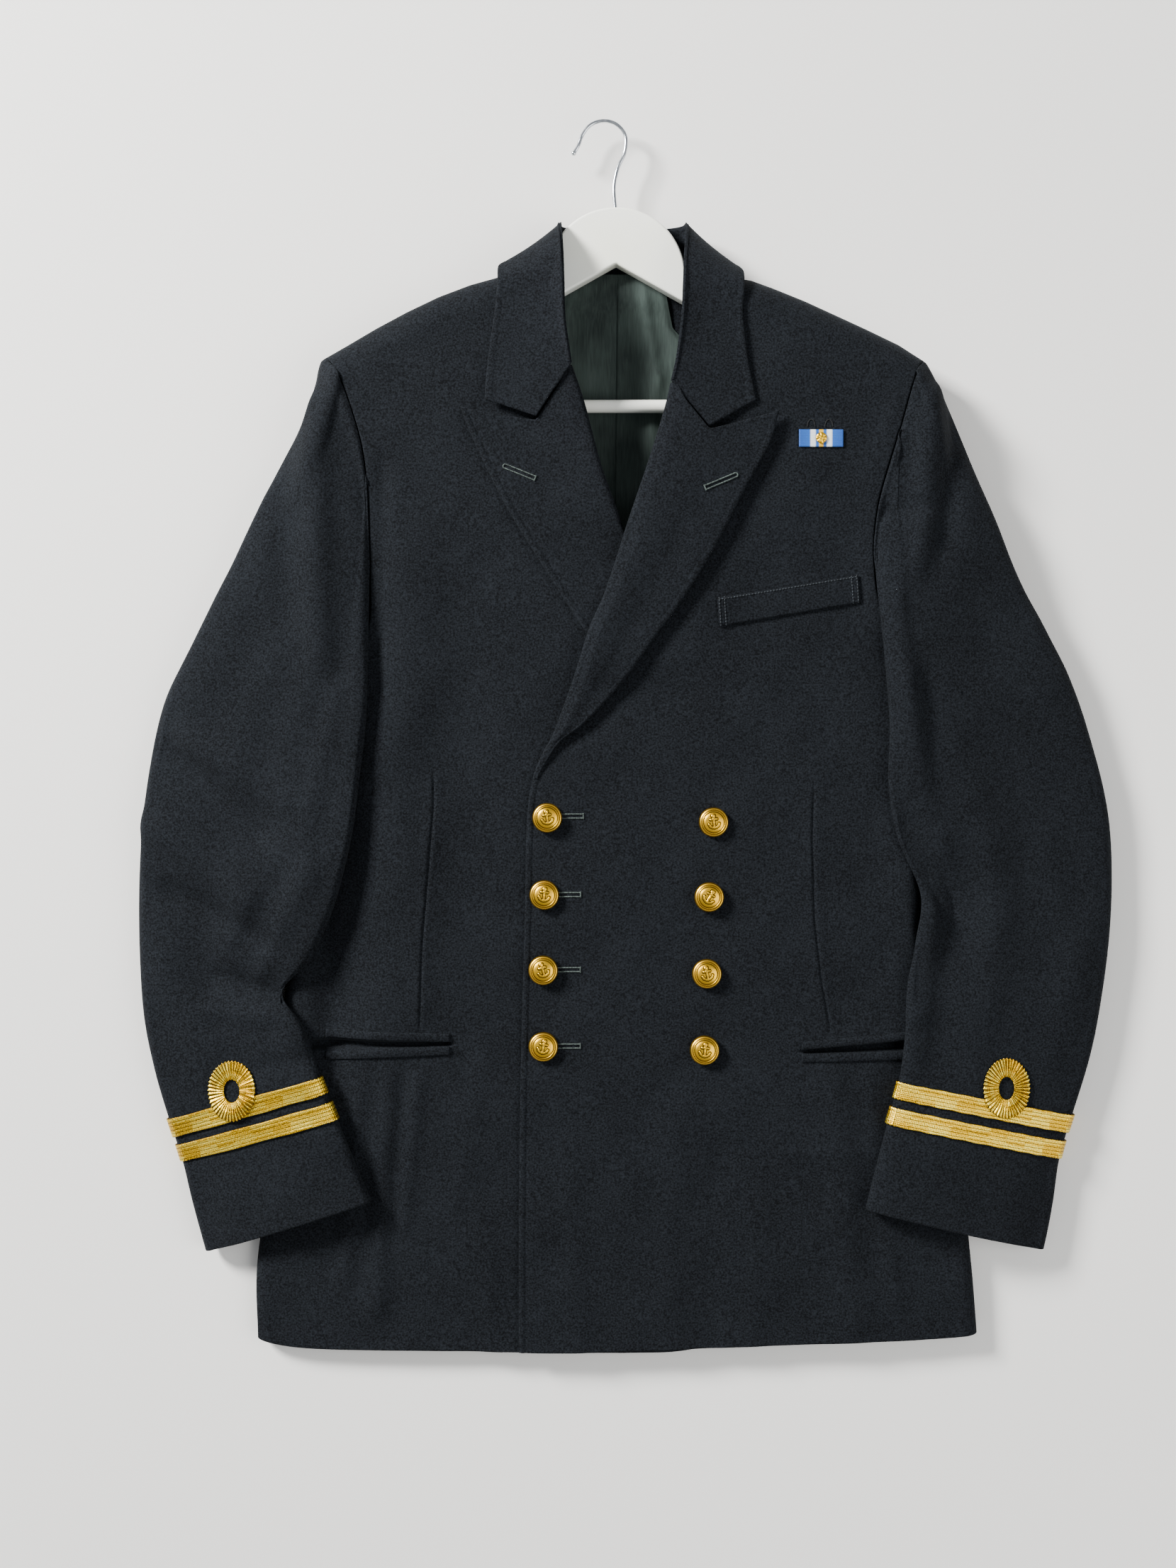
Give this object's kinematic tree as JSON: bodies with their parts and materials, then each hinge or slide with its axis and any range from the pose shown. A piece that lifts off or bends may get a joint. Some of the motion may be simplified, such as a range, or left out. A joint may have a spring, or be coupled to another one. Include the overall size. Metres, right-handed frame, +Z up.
{
  "type": "naval officer reefer jacket on hanger",
  "caption": "Double-breasted navy wool reefer jacket with peak lapels, gilt buttons and gold cuff lace, laid flat face up on a white wooden hanger.",
  "frame": {"origin": "middle of the outline on the surface that the jacket lies on", "axes": "+X towards the wearer's left sleeve, +Y from the hem towards the hanger's hook, +Z up from the surface"},
  "size_m": [0.7058, 0.8952, 0.053],
  "materials": {
    "navy_wool_doeskin": "fine milled wool with a short raised nap",
    "lining_satin": "dark grey-green satin with a soft sheen",
    "gilt_wire_lace": "woven gilt wire lace, metallic",
    "gilt_brass": "stamped and gilt, bright",
    "ribbon_silk": "watered silk with stripes",
    "white_lacquered_wood": "white lacquer, semi-gloss",
    "chromed_steel_wire": "polished plate"
  },
  "bodies": {
    "root": {"front_left": "navy_wool_doeskin", "front_right": "navy_wool_doeskin", "back_left": "navy_wool_doeskin", "back_right": "navy_wool_doeskin", "collar": "navy_wool_doeskin", "lapel_left": "navy_wool_doeskin", "lapel_right": "navy_wool_doeskin", "topsleeve_left": "navy_wool_doeskin", "topsleeve_right": "navy_wool_doeskin", "undersleeve_left": "navy_wool_doeskin", "undersleeve_right": "navy_wool_doeskin", "breast_welt": "navy_wool_doeskin", "pocket_jet_upper_left": "navy_wool_doeskin", "pocket_jet_lower_left": "navy_wool_doeskin", "pocket_jet_upper_right": "navy_wool_doeskin", "pocket_jet_lower_right": "navy_wool_doeskin", "back_lining": "lining_satin", "lace_upper_left": "gilt_wire_lace", "lace_lower_left": "gilt_wire_lace", "lace_upper_right": "gilt_wire_lace", "lace_lower_right": "gilt_wire_lace", "lace_curl_left": "gilt_wire_lace", "lace_curl_right": "gilt_wire_lace", "button_left_1": "gilt_brass", "button_left_2": "gilt_brass", "button_left_3": "gilt_brass", "button_left_4": "gilt_brass", "button_right_1": "gilt_brass", "button_right_2": "gilt_brass", "button_right_3": "gilt_brass", "button_right_4": "gilt_brass", "ribbon_stud": "gilt_brass", "ribbon_bar": "ribbon_silk", "hanger_board": "white_lacquered_wood", "trouser_bar": "white_lacquered_wood", "hanger_hook": "chromed_steel_wire"}
  },
  "joints": []
}
